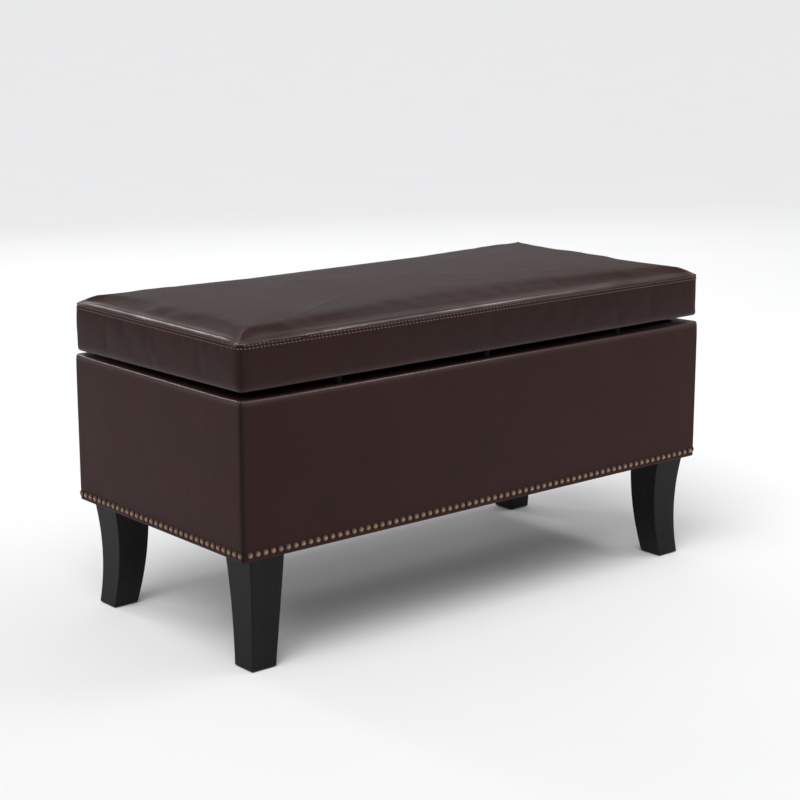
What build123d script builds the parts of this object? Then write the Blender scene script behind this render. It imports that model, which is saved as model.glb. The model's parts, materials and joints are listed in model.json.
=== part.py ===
"""Upholstered storage bench: a leather-covered box on four sabre legs, with a padded lid
that opens on two butt hinges and is held up by a folding stay at each end.

Millimetres. X runs along the length, -Y is the front, +Z is up.
The origin is on the floor, under the middle of the bench.
"""
import os
from math import hypot

from build123d import *

os.makedirs("parts", exist_ok=True)

# ---- driving dimensions ----
length = 900
depth = 420
leg_height = 163
box_height = 221
lid_gap = 11
band_height = 64
crown_edge = 4
crown_rise = 14
crown_overhang = 2
crown_along = (0, 8 / 7, 8 / 7, 8 / 7, 0)    # control heights that meet at 1 in the middle
crown_across = (0, 4 / 3, 4 / 3, 0)

leather = 1.5
padding = 6
board = 18
lining = 1
lid_board = 15
lid_inset = 1.5
lid_turn_under = 25
floor_board = 9
corner_block = (70, 70, 25)
batten_width = 18

box_corner_radius = 5
box_top_radius = 4
box_bottom_radius = 2
lid_corner_radius = 9
lid_bottom_radius = 2.5

nail_radius = 5
nail_dome = 2.6
nail_shoulder = (0.62, 0.7)      # of the radius, of the dome
nail_pitch = 12.7
nail_height = 10
nails_half_side = 35
nails_end = 33

leg_inset_x = 18
leg_inset_y = 10.5
leg_outer_curve = (0, 7, 2.7)
leg_inner_curve = (58.7, 55.9, 44.1)
leg_edge_radius = 1.5
glide_height = 2
glide_radius = 11
bolt_radius = 4
bolt_clearance = 0.5
bolt_into_leg = 40
tee_flange_radius = 11
tee_barrel_radius = 5.5

hinge_x = 306
hinge_length = 60
hinge_sheet = 1.8
barrel_radius = 4
hinge_pin_radius = 2
knuckle_count = 5
knuckle_play = 0.15
barrel_to_leaf = 0.8
hinge_pin_head = (1, 1)          # wider than the pin by, thick
hinge_screw_length = 14
hinge_back_offset = 4
hinge_tab_drop = 18
hinge_leaf_reach = 18

running_clearance = 0.05
stay_x = 395
stay_pin_radius = 2.5
stay_lid_pivot = (158, 9.5)      # forward of the back face, below the lid
stay_offset = (44, -49.3)        # from the hinge line to the lower pivot: forward, up
link_width = 18
link_depth = 14
link_sheet = 1.5
link_play = 0.5
spring_coil = (4, 0.9, 7)        # radius, wire radius, pitch
spring_ends = (22, 34)           # from the lower pivot, from the knuckle
spring_play = 1.2
arm_sheet = 2.5
arm_half_width = 5
arm_bow = 7
bracket_sheet = 2
base_plate = (32, 14, 52)        # forward of the pivot, behind it, height
base_screw_inset = (9, 8)        # from the plate's front edge, from its ends
lid_plate = (42, 8, 17)          # forward of the pivot, behind it, inward of the stay
lid_screws = (22, 8, 24)         # forward of the pivot, from the inner edge, apart
stay_screw_length = 13

bumper_x = 275
bumper_height = 10.7
bumper_radii = (4.5, 5.5)
screw_radius = 1.6
screw_head_radius = 3.3
screw_head_height = 1.5
screw_head_rounding = 1.2
screw_clearance = 0.2

# ---- levels and faces worked out from them ----
box_bottom = leg_height
box_top = leg_height + box_height
lid_bottom = box_top + lid_gap
seam_level = lid_bottom + band_height
wall = leather + padding + board + lining

board_length = length - 2 * (leather + padding)
board_depth = depth - 2 * (leather + padding)
board_height = box_height - 2 * leather
inside_length = length - 2 * wall
inside_depth = depth - 2 * wall
well_length = inside_length + 2 * lining
well_depth = inside_depth + 2 * lining

floor_bottom = box_bottom + corner_block[2]
floor_top = floor_bottom + floor_board

lid_length = length - 2 * lid_inset
lid_depth = depth - 2 * lid_inset

hinge_y = depth / 2 - hinge_back_offset
hinge_z = box_top + lid_gap / 2

MIN_Z = (Align.CENTER, Align.CENTER, Align.MIN)
MAX_Z = (Align.CENTER, Align.CENTER, Align.MAX)


def save(piece, name):
    piece.part.label = name
    export_step(piece.part, f"parts/{name}.step")


def save_mirrored(piece, name):
    """The same piece on the other side of the bench."""
    with BuildPart() as twin:
        add(mirror(piece.part, about=Plane.YZ))
    save(twin, name)


def side_sectors():
    """Plan outlines that part a frame into four sides, mitred at the corners."""
    x, y = length / 2, depth / 2
    ridge = x - y
    return {
        "front": [(-x, -y), (x, -y), (ridge, 0), (-ridge, 0)],
        "back": [(x, y), (-x, y), (-ridge, 0), (ridge, 0)],
        "left": [(-x, y), (-x, -y), (-ridge, 0)],
        "right": [(x, -y), (x, y), (ridge, 0)],
    }


def soft_block(block_length, block_depth, height, level, corner, top, bottom):
    """A block with rounded upright corners and softened top and bottom edges."""
    with BuildPart() as block:
        with Locations((0, 0, level)):
            Box(block_length, block_depth, height, align=MIN_Z)
        fillet(block.edges().filter_by(Axis.Z), corner)
        fillet(block.faces().sort_by(Axis.Z)[-1].edges(), top)
        fillet(block.faces().sort_by(Axis.Z)[0].edges(), bottom)
    return block.part


# ---- the four box boards: front and back run through, the ends fit between ----
for side, sign in (("front", -1), ("back", 1)):
    with BuildPart() as long_board:
        with Locations((0, sign * (board_depth - board) / 2, box_bottom + leather)):
            Box(board_length, board, board_height, align=MIN_Z)
    save(long_board, f"box_{side}_board")

for side, sign in (("left", -1), ("right", 1)):
    with BuildPart() as end_board:
        with Locations((sign * (board_length - board) / 2, 0, box_bottom + leather)):
            Box(board, board_depth - 2 * board, board_height, align=MIN_Z)
    save(end_board, f"box_{side}_board")

# ---- padding and leather around the box, parted into four sides ----
padded_core = soft_block(
    length - 2 * leather, depth - 2 * leather, board_height, box_bottom + leather,
    box_corner_radius - leather, box_top_radius - leather, box_bottom_radius - leather)

with BuildPart() as padding_frame:
    add(padded_core)
    with Locations((0, 0, box_bottom)):
        Box(board_length, board_depth, box_height, align=MIN_Z, mode=Mode.SUBTRACT)

with BuildPart() as leather_frame:
    add(soft_block(length, depth, box_height, box_bottom,
                   box_corner_radius, box_top_radius, box_bottom_radius))
    add(padded_core, mode=Mode.SUBTRACT)
    with Locations((0, 0, box_bottom)):
        Box(inside_length, inside_depth, box_height, align=MIN_Z, mode=Mode.SUBTRACT)

for layer, frame in (("padding", padding_frame), ("leather", leather_frame)):
    for side, outline in side_sectors().items():
        with BuildPart() as panel:
            add(frame.part)
            with BuildSketch(Plane.XY.offset(box_bottom)):
                Polygon(*outline, align=None)
            extrude(amount=box_height, mode=Mode.INTERSECT)
        save(panel, f"box_{side}_{layer}")

# ---- bottom of the box: corner blocks, battens, floor, lining and dust cover ----
block_x = (inside_length - corner_block[0]) / 2
block_y = (inside_depth - corner_block[1]) / 2
leg_centre_x = length / 2 - leg_inset_x - leg_inner_curve[0] / 2
leg_centre_y = depth / 2 - leg_inset_y - leg_inner_curve[0] / 2
leg_places = GridLocations(2 * leg_centre_x, 2 * leg_centre_y, 2, 2).locations
tee_flange = 1.5
tee_barrel = 10

with BuildPart() as corner_blocks:
    with Locations((0, 0, box_bottom)):
        with GridLocations(2 * block_x, 2 * block_y, 2, 2):
            Box(*corner_block, align=MIN_Z)
    with Locations((0, 0, box_bottom)):
        with Locations(*leg_places):
            Cylinder(bolt_radius + bolt_clearance, corner_block[2], align=MIN_Z, mode=Mode.SUBTRACT)
    with Locations((0, 0, floor_bottom - tee_barrel)):
        with Locations(*leg_places):
            Cylinder(tee_barrel_radius, tee_barrel, align=MIN_Z, mode=Mode.SUBTRACT)
    with Locations((0, 0, floor_bottom - tee_flange)):
        with Locations(*leg_places):
            Cylinder(tee_flange_radius, tee_flange, align=MIN_Z, mode=Mode.SUBTRACT)
save(corner_blocks, "corner_blocks")

batten_length = inside_length - 2 * corner_block[0]
with BuildPart() as floor_battens:
    with Locations((0, 0, box_bottom + leather)):
        with GridLocations(0, inside_depth - batten_width, 1, 2):
            Box(batten_length, batten_width, corner_block[2] - leather, align=MIN_Z)
save(floor_battens, "floor_battens")

with BuildPart() as floor_panel:
    with Locations((0, 0, floor_bottom)):
        Box(well_length, well_depth, floor_board, align=MIN_Z)
save(floor_panel, "floor_board")

with BuildPart() as storage_lining:
    lining_height = box_top - leather - floor_top
    with Locations((0, 0, floor_top)):
        Box(well_length, well_depth, lining_height, align=MIN_Z)
    with Locations((0, 0, floor_top + lining)):
        Box(inside_length, inside_depth, lining_height, align=MIN_Z, mode=Mode.SUBTRACT)
save(storage_lining, "storage_lining")

dust_sheet = 0.8
dust_margin = 14
dust_notch = 90
with BuildPart() as dust_cover:
    with Locations((0, 0, box_bottom - dust_sheet)):
        Box(length - 2 * dust_margin, depth - 2 * dust_margin, dust_sheet, align=MIN_Z)
        with GridLocations(length, depth, 2, 2):
            Box(2 * dust_notch, 2 * dust_notch, dust_sheet, align=MIN_Z, mode=Mode.SUBTRACT)
save(dust_cover, "dust_cover")

# ---- nail trim: one domed nail head, repeated along the foot of each side ----
with BuildPart() as nail:
    with BuildSketch(Plane.XZ):
        with BuildLine():
            ThreePointArc((0, nail_dome),
                          (nail_radius * nail_shoulder[0], nail_dome * nail_shoulder[1]),
                          (nail_radius, 0))
            Line((nail_radius, 0), (0, 0))
            Line((0, 0), (0, nail_dome))
        make_face()
    revolve(axis=Axis.Z)

nail_level = box_bottom + nail_height
row_offset = nails_half_side * nail_pitch / 2
nail_rows = {
    "front_left": ((-row_offset, -depth / 2), (1, 0), (0, -1), nails_half_side),
    "front_right": ((row_offset, -depth / 2), (1, 0), (0, -1), nails_half_side),
    "back_left": ((-row_offset, depth / 2), (-1, 0), (0, 1), nails_half_side),
    "back_right": ((row_offset, depth / 2), (-1, 0), (0, 1), nails_half_side),
    "left_end": ((-length / 2, 0), (0, -1), (-1, 0), nails_end),
    "right_end": ((length / 2, 0), (0, 1), (1, 0), nails_end),
}
for row, (centre, along, outward, count) in nail_rows.items():
    face = Plane((*centre, nail_level), x_dir=(*along, 0), z_dir=(*outward, 0))
    with BuildPart(face) as nail_row:
        with GridLocations(nail_pitch, 0, count, 1):
            add(nail.part)
    save(nail_row, f"nails_{row}")


# ---- legs: square in section, hollow-curved outside, flaring to a small foot ----
def leg_profile(plane, edge, sign):
    """One face-on outline of a leg; edge is the outer top corner's place."""
    middle = (leg_height + glide_height) / 2
    levels = (leg_height, middle, glide_height)
    outer = [(edge - sign * across, z) for across, z in zip(leg_outer_curve, levels)]
    inner = [(edge - sign * across, z) for across, z in zip(leg_inner_curve, levels)]
    with BuildSketch(plane) as outline:
        with BuildLine():
            ThreePointArc(*outer)
            Line(outer[2], inner[2])
            ThreePointArc(inner[2], inner[1], inner[0])
            Line(inner[0], outer[0])
        make_face()
    return outline.sketch


front_view = Plane((0, 0, 0), x_dir=(1, 0, 0), z_dir=(0, -1, 0))
leg_sides = {"front_left": (-1, -1), "front_right": (1, -1),
             "back_left": (-1, 1), "back_right": (1, 1)}
for side, (sign_x, sign_y) in leg_sides.items():
    with BuildPart() as leg:
        across = leg_profile(front_view, sign_x * (length / 2 - leg_inset_x), sign_x)
        extrude(across, amount=depth, both=True)
        along = leg_profile(Plane.YZ, sign_y * (depth / 2 - leg_inset_y), sign_y)
        extrude(along, amount=length, both=True, mode=Mode.INTERSECT)
        ends = leg.faces().filter_by(Axis.Z)
        fillet(leg.edges() - ends.edges(), leg_edge_radius)
        with Locations((sign_x * leg_centre_x, sign_y * leg_centre_y, leg_height)):
            Cylinder(bolt_radius, 2 * bolt_into_leg, mode=Mode.SUBTRACT)
    save(leg, f"leg_{side}")

with BuildPart() as leg_bolts:
    with Locations((0, 0, leg_height - bolt_into_leg)):
        with Locations(*leg_places):
            Cylinder(bolt_radius, bolt_into_leg + corner_block[2] - tee_flange, align=MIN_Z)
save(leg_bolts, "leg_bolts")

with BuildPart() as tee_nuts:
    with Locations((0, 0, floor_bottom - tee_barrel)):
        with Locations(*leg_places):
            Cylinder(tee_barrel_radius, tee_barrel, align=MIN_Z)
    with Locations((0, 0, floor_bottom - tee_flange)):
        with Locations(*leg_places):
            Cylinder(tee_flange_radius, tee_flange, align=MIN_Z)
    with Locations((0, 0, floor_bottom - tee_barrel)):
        with Locations(*leg_places):
            Cylinder(bolt_radius, tee_barrel, align=MIN_Z, mode=Mode.SUBTRACT)
save(tee_nuts, "tee_nuts")

foot_shift = leg_inner_curve[0] / 2 - (leg_outer_curve[2] + leg_inner_curve[2]) / 2
with BuildPart() as foot_glides:
    with GridLocations(2 * (leg_centre_x + foot_shift), 2 * (leg_centre_y + foot_shift), 2, 2):
        Cylinder(glide_radius, glide_height, align=MIN_Z)
    fillet(foot_glides.edges().group_by(Axis.Z)[0], glide_height / 3)
save(foot_glides, "foot_glides")

# ---- lid: board, foam, boxing band, crowned top panel, underside lining ----
inner_lid_length = lid_length - 2 * leather
inner_lid_depth = lid_depth - 2 * leather
inner_lid_radius = lid_corner_radius - leather

with BuildPart() as lid_panel:
    with BuildSketch(Plane.XY.offset(lid_bottom + leather)):
        RectangleRounded(inner_lid_length, inner_lid_depth, inner_lid_radius)
    extrude(amount=lid_board)
save(lid_panel, "lid_board")


def crowned_block(block_length, block_depth, radius, base, top):
    """A block whose top swells along and across; top is the crown's highest point."""
    half_x = block_length / 2 + crown_overhang
    half_y = block_depth / 2 + crown_overhang
    crown = Face.make_bezier_surface([
        [(half_x * x, half_y * y, top - crown_rise * (1 - along * across))
         for y, across in zip((-1, -1 / 3, 1 / 3, 1), crown_across)]
        for x, along in zip((-1, -0.5, 0, 0.5, 1), crown_along)])
    with BuildPart() as block:
        with BuildSketch(Plane.XY.offset(base)):
            RectangleRounded(block_length, block_depth, radius)
        extrude(amount=top - base)
        extrude(crown, amount=2 * (top - base), dir=(0, 0, -1), mode=Mode.INTERSECT)
    return block.part


crown_top = seam_level + crown_edge + crown_rise
foam_block = crowned_block(inner_lid_length, inner_lid_depth, inner_lid_radius,
                           lid_bottom + leather + lid_board, crown_top - leather)
with BuildPart() as lid_foam:
    add(foam_block)
save(lid_foam, "lid_foam")

with BuildPart() as lid_top_leather:
    add(crowned_block(lid_length, lid_depth, lid_corner_radius, seam_level, crown_top))
    add(foam_block, mode=Mode.SUBTRACT)
save(lid_top_leather, "lid_top_leather")

with BuildPart() as lid_boxing:
    with BuildSketch(Plane.XY.offset(lid_bottom)):
        RectangleRounded(lid_length, lid_depth, lid_corner_radius)
    extrude(amount=band_height)
    fillet(lid_boxing.faces().sort_by(Axis.Z)[0].edges(), lid_bottom_radius)
    with BuildSketch(Plane.XY.offset(lid_bottom + leather)):
        RectangleRounded(inner_lid_length, inner_lid_depth, inner_lid_radius)
    extrude(amount=band_height, mode=Mode.SUBTRACT)
    with Locations((0, 0, lid_bottom)):
        Box(lid_length - 2 * lid_turn_under, lid_depth - 2 * lid_turn_under, leather,
            align=MIN_Z, mode=Mode.SUBTRACT)
save(lid_boxing, "lid_boxing")

with BuildPart() as lid_lining:
    with Locations((0, 0, lid_bottom + leather - lining)):
        Box(lid_length - 2 * lid_turn_under, lid_depth - 2 * lid_turn_under, lining,
            align=MIN_Z)
save(lid_lining, "lid_lining")

bumper_y = -depth / 2 + wall / 2 + leather
with BuildPart(Plane.XY.offset(lid_bottom)) as lid_bumpers:
    with Locations((0, bumper_y)):
        with GridLocations(bumper_x, 0, 3, 1):
            Cone(*bumper_radii, bumper_height, align=MAX_Z)
save(lid_bumpers, "lid_bumpers")


# ---- fasteners: one round-headed screw, standing on its workplane ----
def screw(shank_length):
    with BuildPart() as fastener:
        Cylinder(screw_radius, shank_length, align=MAX_Z)
        Cylinder(screw_head_radius, screw_head_height, align=MIN_Z)
        fillet(fastener.edges().group_by(Axis.Z)[-1], screw_head_rounding)
    return fastener.part


# ---- butt hinges ----
knuckle = hinge_length / knuckle_count
hinge_left_edge = hinge_x - hinge_length / 2
leaf_back = hinge_y - barrel_radius - barrel_to_leaf
tab_face = inside_depth / 2
screw_spread = hinge_length / 3


def barrels(indices, low, high):
    """Rolled knuckles of one leaf, with the web that joins each to its plate."""
    for index in indices:
        start = hinge_left_edge + index * knuckle + knuckle_play
        run = knuckle - 2 * knuckle_play
        with BuildSketch(Plane.YZ.offset(start)) as roll:
            with Locations((hinge_y, hinge_z)):
                Circle(barrel_radius)
        extrude(roll.sketch, amount=run)
        with Locations((start, leaf_back, low)):
            Box(run, hinge_y - leaf_back, high - low, align=(Align.MIN, Align.MIN, Align.MIN))


def pin_bore():
    with BuildSketch(Plane.YZ.offset(hinge_left_edge)) as bore:
        with Locations((hinge_y, hinge_z)):
            Circle(hinge_pin_radius + running_clearance)
    extrude(bore.sketch, amount=hinge_length, mode=Mode.SUBTRACT)


tab_plane = Plane((hinge_x, tab_face - hinge_sheet, box_top - hinge_tab_drop / 2),
                  x_dir=(1, 0, 0), z_dir=(0, -1, 0))
with BuildPart() as box_leaf:
    with Locations((hinge_x, tab_face - hinge_sheet, box_top)):
        Box(hinge_length, leaf_back - tab_face + hinge_sheet, hinge_sheet,
            align=(Align.CENTER, Align.MIN, Align.MIN))
        Box(hinge_length, hinge_sheet, hinge_tab_drop,
            align=(Align.CENTER, Align.MIN, Align.MAX))
    barrels(range(0, knuckle_count, 2), box_top, hinge_z)
    pin_bore()
    with Locations(tab_plane):
        with GridLocations(screw_spread, 0, 3, 1):
            Hole(screw_radius + screw_clearance, depth=hinge_sheet)
save(box_leaf, "hinge_box_leaf_right")
save_mirrored(box_leaf, "hinge_box_leaf_left")

lid_leaf_plane = Plane((hinge_x, leaf_back - hinge_leaf_reach / 2, lid_bottom - hinge_sheet),
                       x_dir=(1, 0, 0), z_dir=(0, 0, -1))
with BuildPart() as lid_leaf:
    with Locations((hinge_x, leaf_back, lid_bottom)):
        Box(hinge_length, hinge_leaf_reach, hinge_sheet,
            align=(Align.CENTER, Align.MAX, Align.MAX))
    barrels(range(1, knuckle_count, 2), hinge_z, lid_bottom)
    pin_bore()
    with Locations(lid_leaf_plane):
        with GridLocations(screw_spread, 0, 3, 1):
            Hole(screw_radius + screw_clearance, depth=hinge_sheet)
save(lid_leaf, "hinge_lid_leaf_right")
save_mirrored(lid_leaf, "hinge_lid_leaf_left")

pin_head_wider, pin_head = hinge_pin_head
with BuildPart() as hinge_pins:
    for centre in (-hinge_x, hinge_x):
        start = centre - hinge_length / 2 - pin_head
        with BuildSketch(Plane.YZ.offset(start)):
            with Locations((hinge_y, hinge_z)):
                Circle(hinge_pin_radius)
        extrude(amount=hinge_length + 2 * pin_head)
        with BuildSketch(Plane.YZ.offset(start), Plane.YZ.offset(start + hinge_length + pin_head)):
            with Locations((hinge_y, hinge_z)):
                Circle(hinge_pin_radius + pin_head_wider)
        extrude(amount=pin_head)
save(hinge_pins, "hinge_pins")

hinge_screw = screw(hinge_screw_length)
for name, plane in (("hinge_screws_box", tab_plane), ("hinge_screws_lid", lid_leaf_plane)):
    with BuildPart() as hinge_screws:
        with Locations(plane):
            with GridLocations(screw_spread, 0, 3, 1):
                add(hinge_screw)
        mirror(about=Plane.YZ)
    save(hinge_screws, name)

# ---- folding stays, an exact parallelogram: hinge, lower pivot, knuckle, lid pivot ----
lid_pivot = (depth / 2 - stay_lid_pivot[0], lid_bottom - stay_lid_pivot[1])
base_pivot = (hinge_y - stay_offset[0], hinge_z + stay_offset[1])
knuckle_pivot = (lid_pivot[0] - stay_offset[0], lid_pivot[1] + stay_offset[1])
link_length = hypot(knuckle_pivot[0] - base_pivot[0], knuckle_pivot[1] - base_pivot[1])
arm_length = hypot(*stay_offset)

link_inner_x = stay_x - link_depth / 2 - link_play
link_outer_x = link_inner_x + link_depth
cheek_gap = link_depth - 2 * link_sheet
pin_hole = stay_pin_radius + running_clearance
rivet_radius = 4.5
rivet_height = 1

wall_face = inside_length / 2
bracket_flange_x = link_outer_x + link_play
bracket_front_y = base_pivot[0] - base_plate[0]
bracket_web_y = base_pivot[0] + base_plate[1]
plate_height = base_plate[2]
flange_height = 20


def bored(plane_x, pivot, reach):
    """A pin hole along X through a pivot."""
    with BuildSketch(Plane.YZ.offset(plane_x)) as bore:
        with Locations(pivot):
            Circle(pin_hole)
    extrude(bore.sketch, amount=reach, mode=Mode.SUBTRACT)


base_screw_plane = Plane((wall_face - bracket_sheet, bracket_front_y + base_screw_inset[0],
                          base_pivot[1]), x_dir=(0, 1, 0), z_dir=(-1, 0, 0))
base_screws_apart = plate_height - 2 * base_screw_inset[1]
with BuildPart() as base_bracket:
    with Locations((wall_face, bracket_front_y, base_pivot[1])):
        Box(bracket_sheet, bracket_web_y + bracket_sheet - bracket_front_y, plate_height,
            align=(Align.MAX, Align.MIN, Align.CENTER))
    with Locations((wall_face, bracket_web_y, base_pivot[1])):
        Box(wall_face - bracket_flange_x, bracket_sheet, flange_height,
            align=(Align.MAX, Align.MIN, Align.CENTER))
    with Locations((bracket_flange_x, base_pivot[0], base_pivot[1])):
        Box(bracket_sheet, bracket_web_y + bracket_sheet - base_pivot[0], flange_height,
            align=(Align.MIN, Align.MIN, Align.CENTER))
    with BuildSketch(Plane.YZ.offset(bracket_flange_x)):
        with Locations(base_pivot):
            Circle(flange_height / 2)
    extrude(amount=bracket_sheet)
    bored(bracket_flange_x, base_pivot, bracket_sheet)
    with Locations(base_screw_plane):
        with GridLocations(0, base_screws_apart, 1, 2):
            Hole(screw_radius + screw_clearance, depth=bracket_sheet)
save(base_bracket, "stay_base_bracket_right")
save_mirrored(base_bracket, "stay_base_bracket_left")

link_direction = (0, knuckle_pivot[0] - base_pivot[0], knuckle_pivot[1] - base_pivot[1])
link_plane = Plane((link_inner_x, *base_pivot), x_dir=link_direction, z_dir=(1, 0, 0))
spring_start = spring_ends[0]
spring_end = link_length - spring_ends[1]
spring_stop = 2
with BuildPart() as stay_link:
    with BuildSketch(link_plane):
        with Locations((link_length / 2, 0)):
            SlotCenterToCenter(link_length, link_width)
    extrude(amount=link_depth)
    with BuildSketch(link_plane.offset(link_sheet)):
        with Locations((link_length / 2, -link_sheet)):
            Rectangle(link_length + 2 * link_width, link_width)
    extrude(amount=cheek_gap, mode=Mode.SUBTRACT)
    with BuildSketch(link_plane.offset(link_sheet)):
        with Locations((spring_start - spring_stop / 2, 0), (spring_end + spring_stop / 2, 0)):
            Rectangle(spring_stop, link_width - 2 * link_sheet)
    extrude(amount=cheek_gap)
    bored(link_inner_x, base_pivot, link_depth)
    bored(link_inner_x, knuckle_pivot, link_depth)
save(stay_link, "stay_link_right")
save_mirrored(stay_link, "stay_link_left")

spring_seat = link_plane.offset(link_depth / 2).from_local_coords(
    (spring_start + spring_play, 0, 0))
spring_radius, spring_wire, spring_pitch = spring_coil
with BuildPart() as stay_spring:
    with BuildLine():
        coil = Helix(pitch=spring_pitch, height=spring_end - spring_start - 2 * spring_play,
                     radius=spring_radius, center=spring_seat, direction=link_direction)
    with BuildSketch(Plane(coil @ 0, z_dir=coil % 0)):
        Circle(spring_wire)
    sweep(path=coil, is_frenet=True)
save(stay_spring, "stay_spring_right")
save_mirrored(stay_spring, "stay_spring_left")

arm_inner_x = stay_x - arm_sheet / 2
arm_plane = Plane((arm_inner_x, *knuckle_pivot), x_dir=(0, stay_offset[0], -stay_offset[1]),
                  z_dir=(1, 0, 0))
hub_play = 0.3
hub_radius = 7.2
arm_tip_radius = 6
with BuildPart() as stay_arm:
    with BuildSketch(arm_plane):
        with BuildLine():
            ThreePointArc((0, hub_radius), (arm_length / 2, arm_bow + arm_half_width),
                          (arm_length, arm_half_width))
            Line((arm_length, arm_half_width), (arm_length, -arm_half_width))
            ThreePointArc((arm_length, -arm_half_width), (arm_length / 2, arm_bow - arm_half_width),
                          (0, -hub_radius))
            Line((0, -hub_radius), (0, hub_radius))
        make_face()
        Circle(hub_radius)
        with Locations((arm_length, 0)):
            Circle(arm_tip_radius)
    extrude(amount=arm_sheet)
    with BuildSketch(Plane.YZ.offset(link_inner_x + link_sheet + hub_play)):
        with Locations(knuckle_pivot):
            Circle(hub_radius)
    extrude(amount=cheek_gap - 2 * hub_play)
    bored(link_inner_x, knuckle_pivot, link_depth)
    bored(link_inner_x, lid_pivot, link_depth)
save(stay_arm, "stay_arm_right")
save_mirrored(stay_arm, "stay_arm_left")

ear_play = 0.75
ear_x = arm_inner_x + arm_sheet + ear_play
lid_plate_front_y = lid_pivot[0] - lid_plate[0]
lid_plate_back_y = lid_pivot[0] + lid_plate[1]
lid_plate_inner_x = stay_x - lid_plate[2]
lid_screw_plane = Plane((lid_plate_inner_x + lid_screws[1], lid_pivot[0] - lid_screws[0],
                         lid_bottom - bracket_sheet), x_dir=(0, 1, 0), z_dir=(0, 0, -1))
with BuildPart() as lid_bracket:
    with Locations((ear_x + bracket_sheet, lid_plate_back_y, lid_bottom)):
        Box(ear_x + bracket_sheet - lid_plate_inner_x, lid_plate_back_y - lid_plate_front_y,
            bracket_sheet, align=(Align.MAX, Align.MAX, Align.MAX))
    with BuildSketch(Plane.YZ.offset(ear_x)):
        with Locations(lid_pivot):
            Circle(arm_tip_radius)
        with Locations((lid_pivot[0], lid_bottom)):
            Rectangle(2 * arm_tip_radius, stay_lid_pivot[1],
                      align=(Align.CENTER, Align.MAX))
    extrude(amount=bracket_sheet)
    bored(ear_x, lid_pivot, bracket_sheet)
    with Locations(lid_screw_plane):
        with GridLocations(lid_screws[2], 0, 2, 1):
            Hole(screw_radius + screw_clearance, depth=bracket_sheet)
save(lid_bracket, "stay_lid_bracket_right")
save_mirrored(lid_bracket, "stay_lid_bracket_left")


def rivet(pivot, start, end):
    """A headed pin along X, its heads just outside start and end."""
    with BuildPart() as pin:
        with BuildSketch(Plane.YZ.offset(start)):
            with Locations(pivot):
                Circle(stay_pin_radius)
        extrude(amount=end - start)
        with BuildSketch(Plane.YZ.offset(start - rivet_height), Plane.YZ.offset(end)):
            with Locations(pivot):
                Circle(rivet_radius)
        extrude(amount=rivet_height)
    return pin


pin_play = 0.2
knuckle_rivet = rivet(knuckle_pivot, link_inner_x, link_outer_x)
save(knuckle_rivet, "stay_knuckle_pin_right")
save_mirrored(knuckle_rivet, "stay_knuckle_pin_left")

pin_runs = {
    "stay_base_pins": (base_pivot, link_inner_x - pin_play, bracket_flange_x + bracket_sheet),
    "stay_lid_pins": (lid_pivot, arm_inner_x - pin_play, ear_x + bracket_sheet),
}
for name, run in pin_runs.items():
    with BuildPart() as pivot_pins:
        add(rivet(*run).part)
        mirror(about=Plane.YZ)
    save(pivot_pins, name)

stay_screw = screw(stay_screw_length)
screw_rows = {"stay_screws_box": (base_screw_plane, GridLocations(0, base_screws_apart, 1, 2)),
              "stay_screws_lid": (lid_screw_plane, GridLocations(lid_screws[2], 0, 2, 1))}
for name, (plane, places) in screw_rows.items():
    with BuildPart() as stay_screws:
        with Locations(plane):
            with Locations(*places.locations):
                add(stay_screw)
        mirror(about=Plane.YZ)
    save(stay_screws, name)
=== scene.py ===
# %% [markdown]
# # An upholstered storage bench
# A long box on four curved legs, covered in dark brown leathercloth, with a row of domed nails
# round its foot and a padded lid that opens on two butt hinges and is held up by two folding
# stays. The frame holds every CAD part with its body and its joint. This lesson dresses that
# frame: soft pieces are made here, and hard pieces that already have the right shape only get
# their finish.

# %% Load the frame
import json
from math import cos, exp, hypot, pi, radians, sin

import bmesh
import bpy
from mathutils import Matrix, Vector, noise
from mathutils.bvhtree import BVHTree


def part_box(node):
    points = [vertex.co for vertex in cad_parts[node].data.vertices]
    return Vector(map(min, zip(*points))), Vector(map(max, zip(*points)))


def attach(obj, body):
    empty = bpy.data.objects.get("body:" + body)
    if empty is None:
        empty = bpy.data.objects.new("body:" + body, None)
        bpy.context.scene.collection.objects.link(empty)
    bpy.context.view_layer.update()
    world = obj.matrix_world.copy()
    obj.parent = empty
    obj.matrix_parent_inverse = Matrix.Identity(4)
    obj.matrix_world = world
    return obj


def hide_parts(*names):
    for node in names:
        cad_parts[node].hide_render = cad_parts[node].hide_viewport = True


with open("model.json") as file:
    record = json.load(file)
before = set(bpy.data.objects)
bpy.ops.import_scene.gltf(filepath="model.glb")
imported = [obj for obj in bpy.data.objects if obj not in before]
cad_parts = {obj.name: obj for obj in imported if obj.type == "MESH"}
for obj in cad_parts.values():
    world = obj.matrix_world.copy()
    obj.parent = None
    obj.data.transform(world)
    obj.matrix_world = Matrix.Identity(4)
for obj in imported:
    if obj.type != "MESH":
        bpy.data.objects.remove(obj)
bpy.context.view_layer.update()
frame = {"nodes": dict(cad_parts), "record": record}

MM = 0.001
slot_of = {row["node"]: row["material_slot"] for row in frame["record"]["subparts"]}

# %% [markdown]
# ## The camera and the light
# The bench stands at an angle of about 40 degrees, seen from a little above its lid. The camera
# comes first, because every finish is judged through it. A studio for dark leather is a pale
# floor under one wide soft light: the leather is nearly black, so most of what is seen on it is
# the light's own reflection. The wide light comes from the left and in front, so that the left
# end is lighter than the long front. A weak softbox keeps the front from going black, and a long
# strip behind is mirrored along the lid's top. The lid's rolled edges are too narrow to catch any
# of these, so two small lamps stand where those edges mirror them into the camera.

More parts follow.
